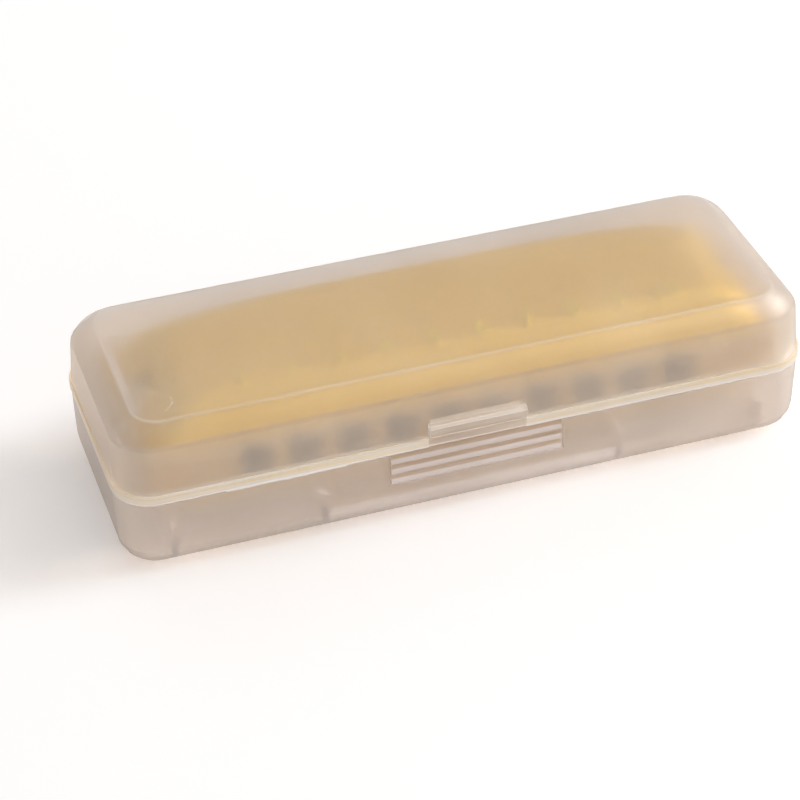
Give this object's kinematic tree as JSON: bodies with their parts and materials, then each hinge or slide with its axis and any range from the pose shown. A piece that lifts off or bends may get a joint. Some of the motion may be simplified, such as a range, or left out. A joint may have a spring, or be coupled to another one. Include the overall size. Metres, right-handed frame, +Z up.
{
  "type": "harmonica case",
  "caption": "Frosted plastic case with a hinged lid and a snap latch, holding a diatonic harmonica with brass reed plates and domed covers.",
  "frame": {"origin": "centre of the flat underside of the base, on the surface that the case stands on", "axes": "+X along the case to the right seen from the latch side, +Y from the latch to the hinge, +Z up"},
  "size_m": [0.1098, 0.0429, 0.0249],
  "materials": {
    "case_plastic": "frosted clear polypropylene",
    "comb_plastic": "dark moulded plastic",
    "reed_brass": "rolled brass",
    "cover_gold": "fine blasted gold plate",
    "fastener_steel": "bright steel"
  },
  "bodies": {
    "base": {"case_base": "case_plastic", "comb": "comb_plastic", "upper_reed_plate": "reed_brass", "lower_reed_plate": "reed_brass", "upper_cover": "cover_gold", "lower_cover": "cover_gold", "blow_reed_1": "reed_brass", "blow_reed_2": "reed_brass", "blow_reed_3": "reed_brass", "blow_reed_4": "reed_brass", "blow_reed_5": "reed_brass", "blow_reed_6": "reed_brass", "blow_reed_7": "reed_brass", "blow_reed_8": "reed_brass", "blow_reed_9": "reed_brass", "blow_reed_10": "reed_brass", "draw_reed_1": "reed_brass", "draw_reed_2": "reed_brass", "draw_reed_3": "reed_brass", "draw_reed_4": "reed_brass", "draw_reed_5": "reed_brass", "draw_reed_6": "reed_brass", "draw_reed_7": "reed_brass", "draw_reed_8": "reed_brass", "draw_reed_9": "reed_brass", "draw_reed_10": "reed_brass", "blow_reed_rivets": "fastener_steel", "draw_reed_rivets": "fastener_steel", "reed_plate_screws": "fastener_steel", "cover_screws": "fastener_steel", "cover_nuts": "fastener_steel"},
    "lid": {"case_lid": "case_plastic"}
  },
  "joints": [
    {"name": "lid_hinge", "type": "hinge", "parent": "base", "child": "lid", "pos_m": [0, 0.0213, 0.0125], "axis": [-1, 0, 0], "range_deg": [0, 180]}
  ]
}
